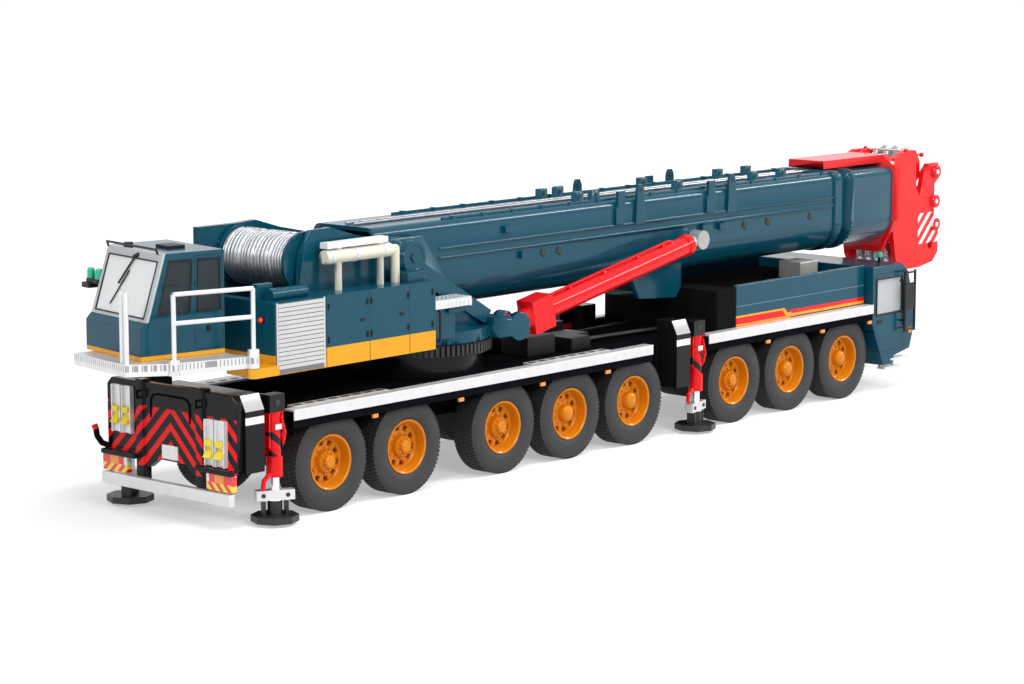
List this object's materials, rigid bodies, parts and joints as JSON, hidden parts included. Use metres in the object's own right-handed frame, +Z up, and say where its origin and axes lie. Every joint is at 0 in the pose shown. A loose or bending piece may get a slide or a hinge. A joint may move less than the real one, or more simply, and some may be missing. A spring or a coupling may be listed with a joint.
{
  "type": "scale model of a mobile crane",
  "caption": "Die-cast scale model of a heavy mobile crane on a long road carrier, with telescopic boom, luffing cylinders, swinging crane cab, winch and sliding outriggers.",
  "frame": {"origin": "on the floor under the middle of the parked model's box", "axes": "+X forward along the carrier, +Y left, +Z up"},
  "size_m": [0.4192, 0.0688, 0.088],
  "materials": {
    "blue_paint": "gloss",
    "black_paint": "satin",
    "red_paint": "gloss",
    "red_jack": "gloss",
    "aluminium": "satin",
    "glass": "clear",
    "black_plastic": "matte",
    "lamp_plastic": "gloss",
    "white_paint": "satin",
    "cream_paint": "satin",
    "bright_steel": "polished",
    "wheel": "matte"
  },
  "bodies": {
    "carrier": {"chassis_frame": "black_paint", "axle_beams": "black_paint", "deck": "black_paint", "aluminium_trim": "aluminium", "rear_body": "black_paint", "lamps": "lamp_plastic", "engine_bay": "black_paint", "engine_cover": "blue_paint", "carrier_cab": "blue_paint", "carrier_cab_glass": "glass", "carrier_cab_seats": "black_plastic", "cab_mirrors": "black_plastic"},
    "knuckle_1_left": {"knuckle_1_left": "black_paint"},
    "wheel_1_left": {"wheel_1_left": "wheel"},
    "knuckle_1_right": {"knuckle_1_right": "black_paint"},
    "wheel_1_right": {"wheel_1_right": "wheel"},
    "knuckle_2_left": {"knuckle_2_left": "black_paint"},
    "wheel_2_left": {"wheel_2_left": "wheel"},
    "knuckle_2_right": {"knuckle_2_right": "black_paint"},
    "wheel_2_right": {"wheel_2_right": "wheel"},
    "knuckle_3_left": {"knuckle_3_left": "black_paint"},
    "wheel_3_left": {"wheel_3_left": "wheel"},
    "knuckle_3_right": {"knuckle_3_right": "black_paint"},
    "wheel_3_right": {"wheel_3_right": "wheel"},
    "knuckle_4_left": {"knuckle_4_left": "black_paint"},
    "wheel_4_left": {"wheel_4_left": "wheel"},
    "knuckle_4_right": {"knuckle_4_right": "black_paint"},
    "wheel_4_right": {"wheel_4_right": "wheel"},
    "knuckle_8_left": {"knuckle_8_left": "black_paint"},
    "wheel_8_left": {"wheel_8_left": "wheel"},
    "knuckle_8_right": {"knuckle_8_right": "black_paint"},
    "wheel_8_right": {"wheel_8_right": "wheel"},
    "knuckle_7_left": {"knuckle_7_left": "black_paint"},
    "wheel_7_left": {"wheel_7_left": "wheel"},
    "knuckle_7_right": {"knuckle_7_right": "black_paint"},
    "wheel_7_right": {"wheel_7_right": "wheel"},
    "wheels_5": {"wheels_5": "wheel"},
    "wheels_6": {"wheels_6": "wheel"},
    "outrigger_beam_rear_right": {"outrigger_beam_rear_right": "red_jack"},
    "outrigger_foot_rear_right": {"outrigger_foot_rear_right": "bright_steel"},
    "outrigger_beam_rear_left": {"outrigger_beam_rear_left": "red_jack"},
    "outrigger_foot_rear_left": {"outrigger_foot_rear_left": "bright_steel"},
    "outrigger_beam_front_right": {"outrigger_beam_front_right": "red_jack"},
    "outrigger_foot_front_right": {"outrigger_foot_front_right": "bright_steel"},
    "outrigger_beam_front_left": {"outrigger_beam_front_left": "red_jack"},
    "outrigger_foot_front_left": {"outrigger_foot_front_left": "bright_steel"},
    "turntable": {"turntable_frame": "blue_paint", "machine_housing": "blue_paint", "louvre_panel": "white_paint", "exhaust": "cream_paint"},
    "winch": {"winch_drum": "blue_paint"},
    "boom": {"boom_base": "blue_paint"},
    "tele": {"boom_tele": "blue_paint"},
    "head": {"boom_head": "red_paint"},
    "barrels": {"cylinder_barrels": "red_paint"},
    "rods": {"cylinder_rods": "bright_steel"},
    "cab_swing": {"crane_cab": "blue_paint", "crane_cab_glass": "glass", "crane_cab_seat": "black_plastic", "cab_platform": "aluminium"}
  },
  "joints": [
    {"name": "steer_1_left", "type": "hinge", "parent": "carrier", "child": "knuckle_1_left", "pos_m": [0.12507, 0.0156, 0.015], "axis": [0, 0, 1], "range_deg": [-16, 16]},
    {"name": "spin_1_left", "type": "hinge", "parent": "knuckle_1_left", "child": "wheel_1_left", "pos_m": [0.12507, 0.0229, 0.015], "axis": [0, 1, 0], "continuous": true},
    {"name": "steer_1_right", "type": "hinge", "parent": "carrier", "child": "knuckle_1_right", "pos_m": [0.12507, -0.0156, 0.015], "axis": [0, 0, 1], "range_deg": [-16, 16]},
    {"name": "spin_1_right", "type": "hinge", "parent": "knuckle_1_right", "child": "wheel_1_right", "pos_m": [0.12507, -0.0229, 0.015], "axis": [0, 1, 0], "continuous": true},
    {"name": "steer_2_left", "type": "hinge", "parent": "carrier", "child": "knuckle_2_left", "pos_m": [0.09207, 0.0156, 0.015], "axis": [0, 0, 1], "range_deg": [-13, 13]},
    {"name": "spin_2_left", "type": "hinge", "parent": "knuckle_2_left", "child": "wheel_2_left", "pos_m": [0.09207, 0.0229, 0.015], "axis": [0, 1, 0], "continuous": true},
    {"name": "steer_2_right", "type": "hinge", "parent": "carrier", "child": "knuckle_2_right", "pos_m": [0.09207, -0.0156, 0.015], "axis": [0, 0, 1], "range_deg": [-13, 13]},
    {"name": "spin_2_right", "type": "hinge", "parent": "knuckle_2_right", "child": "wheel_2_right", "pos_m": [0.09207, -0.0229, 0.015], "axis": [0, 1, 0], "continuous": true},
    {"name": "steer_3_left", "type": "hinge", "parent": "carrier", "child": "knuckle_3_left", "pos_m": [0.05907, 0.0156, 0.015], "axis": [0, 0, 1], "range_deg": [-10, 10]},
    {"name": "spin_3_left", "type": "hinge", "parent": "knuckle_3_left", "child": "wheel_3_left", "pos_m": [0.05907, 0.0229, 0.015], "axis": [0, 1, 0], "continuous": true},
    {"name": "steer_3_right", "type": "hinge", "parent": "carrier", "child": "knuckle_3_right", "pos_m": [0.05907, -0.0156, 0.015], "axis": [0, 0, 1], "range_deg": [-10, 10]},
    {"name": "spin_3_right", "type": "hinge", "parent": "knuckle_3_right", "child": "wheel_3_right", "pos_m": [0.05907, -0.0229, 0.015], "axis": [0, 1, 0], "continuous": true},
    {"name": "steer_4_left", "type": "hinge", "parent": "carrier", "child": "knuckle_4_left", "pos_m": [0.00307, 0.0156, 0.015], "axis": [0, 0, 1], "range_deg": [-5, 5]},
    {"name": "spin_4_left", "type": "hinge", "parent": "knuckle_4_left", "child": "wheel_4_left", "pos_m": [0.00307, 0.0229, 0.015], "axis": [0, 1, 0], "continuous": true},
    {"name": "steer_4_right", "type": "hinge", "parent": "carrier", "child": "knuckle_4_right", "pos_m": [0.00307, -0.0156, 0.015], "axis": [0, 0, 1], "range_deg": [-5, 5]},
    {"name": "spin_4_right", "type": "hinge", "parent": "knuckle_4_right", "child": "wheel_4_right", "pos_m": [0.00307, -0.0229, 0.015], "axis": [0, 1, 0], "continuous": true},
    {"name": "steer_8_left", "type": "hinge", "parent": "carrier", "child": "knuckle_8_left", "pos_m": [-0.14043, 0.0156, 0.015], "axis": [0, 0, 1], "range_deg": [-9, 9]},
    {"name": "spin_8_left", "type": "hinge", "parent": "knuckle_8_left", "child": "wheel_8_left", "pos_m": [-0.14043, 0.0229, 0.015], "axis": [0, 1, 0], "continuous": true},
    {"name": "steer_8_right", "type": "hinge", "parent": "carrier", "child": "knuckle_8_right", "pos_m": [-0.14043, -0.0156, 0.015], "axis": [0, 0, 1], "range_deg": [-9, 9]},
    {"name": "spin_8_right", "type": "hinge", "parent": "knuckle_8_right", "child": "wheel_8_right", "pos_m": [-0.14043, -0.0229, 0.015], "axis": [0, 1, 0], "continuous": true},
    {"name": "steer_7_left", "type": "hinge", "parent": "carrier", "child": "knuckle_7_left", "pos_m": [-0.10743, 0.0156, 0.015], "axis": [0, 0, 1], "range_deg": [-6, 6]},
    {"name": "spin_7_left", "type": "hinge", "parent": "knuckle_7_left", "child": "wheel_7_left", "pos_m": [-0.10743, 0.0229, 0.015], "axis": [0, 1, 0], "continuous": true},
    {"name": "steer_7_right", "type": "hinge", "parent": "carrier", "child": "knuckle_7_right", "pos_m": [-0.10743, -0.0156, 0.015], "axis": [0, 0, 1], "range_deg": [-6, 6]},
    {"name": "spin_7_right", "type": "hinge", "parent": "knuckle_7_right", "child": "wheel_7_right", "pos_m": [-0.10743, -0.0229, 0.015], "axis": [0, 1, 0], "continuous": true},
    {"name": "spin_5", "type": "hinge", "parent": "carrier", "child": "wheels_5", "pos_m": [-0.02993, 0, 0.015], "axis": [0, 1, 0], "continuous": true},
    {"name": "spin_6", "type": "hinge", "parent": "carrier", "child": "wheels_6", "pos_m": [-0.06293, 0, 0.015], "axis": [0, 1, 0], "continuous": true},
    {"name": "beam_slide_rear_right", "type": "slide", "parent": "carrier", "child": "outrigger_beam_rear_right", "axis": [0, -1, 0], "range_m": [0, 0.034]},
    {"name": "foot_slide_rear_right", "type": "slide", "parent": "outrigger_beam_rear_right", "child": "outrigger_foot_rear_right", "axis": [0, 0, -1], "range_m": [0, 0.01]},
    {"name": "beam_slide_rear_left", "type": "slide", "parent": "carrier", "child": "outrigger_beam_rear_left", "axis": [0, 1, 0], "range_m": [0, 0.034]},
    {"name": "foot_slide_rear_left", "type": "slide", "parent": "outrigger_beam_rear_left", "child": "outrigger_foot_rear_left", "axis": [0, 0, -1], "range_m": [0, 0.01]},
    {"name": "beam_slide_front_right", "type": "slide", "parent": "carrier", "child": "outrigger_beam_front_right", "axis": [0, -1, 0], "range_m": [0, 0.034]},
    {"name": "foot_slide_front_right", "type": "slide", "parent": "outrigger_beam_front_right", "child": "outrigger_foot_front_right", "axis": [0, 0, -1], "range_m": [0, 0.01]},
    {"name": "beam_slide_front_left", "type": "slide", "parent": "carrier", "child": "outrigger_beam_front_left", "axis": [0, 1, 0], "range_m": [0, 0.034]},
    {"name": "foot_slide_front_left", "type": "slide", "parent": "outrigger_beam_front_left", "child": "outrigger_foot_front_left", "axis": [0, 0, -1], "range_m": [0, 0.01]},
    {"name": "slew", "type": "hinge", "parent": "carrier", "child": "turntable", "pos_m": [-0.07543, 0, 0.0435], "axis": [0, 0, 1], "continuous": true},
    {"name": "winch_spin", "type": "hinge", "parent": "turntable", "child": "winch", "pos_m": [-0.13843, 0, 0.0744], "axis": [0, 1, 0], "continuous": true},
    {"name": "boom_luff", "type": "hinge", "parent": "turntable", "child": "boom", "pos_m": [-0.09743, 0, 0.0725], "axis": [0, -1, 0], "range_deg": [0, 82]},
    {"name": "tele_slide", "type": "slide", "parent": "boom", "child": "tele", "axis": [1, 0, 0], "range_m": [0, 0.18]},
    {"name": "head_slide", "type": "slide", "parent": "tele", "child": "head", "axis": [1, 0, 0], "range_m": [0, 0.18]},
    {"name": "barrel_swing", "type": "hinge", "parent": "turntable", "child": "barrels", "pos_m": [-0.05193, 0, 0.0463], "axis": [0, -1, 0], "range_deg": [0, 85.77]},
    {"name": "rod_slide", "type": "slide", "parent": "barrels", "child": "rods", "axis": [0.9815, 0, 0.1913], "range_m": [0, 0.069]},
    {"name": "cab_swing", "type": "hinge", "parent": "turntable", "child": "cab_swing", "pos_m": [-0.17393, -0.0292, 0.048], "axis": [0, 0, 1], "range_deg": [0, 190]}
  ],
  "couplings": [
    {"joint": "steer_1_right", "follows": "steer_1_left", "ratio": 1},
    {"joint": "steer_2_left", "follows": "steer_1_left", "ratio": 0.8125},
    {"joint": "steer_2_right", "follows": "steer_1_left", "ratio": 0.8125},
    {"joint": "steer_3_left", "follows": "steer_1_left", "ratio": 0.625},
    {"joint": "steer_3_right", "follows": "steer_1_left", "ratio": 0.625},
    {"joint": "steer_4_left", "follows": "steer_1_left", "ratio": 0.3125},
    {"joint": "steer_4_right", "follows": "steer_1_left", "ratio": 0.3125},
    {"joint": "steer_8_right", "follows": "steer_8_left", "ratio": 1},
    {"joint": "steer_7_left", "follows": "steer_8_left", "ratio": 0.66667},
    {"joint": "steer_7_right", "follows": "steer_8_left", "ratio": 0.66667},
    {"joint": "barrel_swing", "follows": "boom_luff", "ratio": 1.0399},
    {"joint": "rod_slide", "follows": "boom_luff", "m_per_rad": 0.047856}
  ]
}
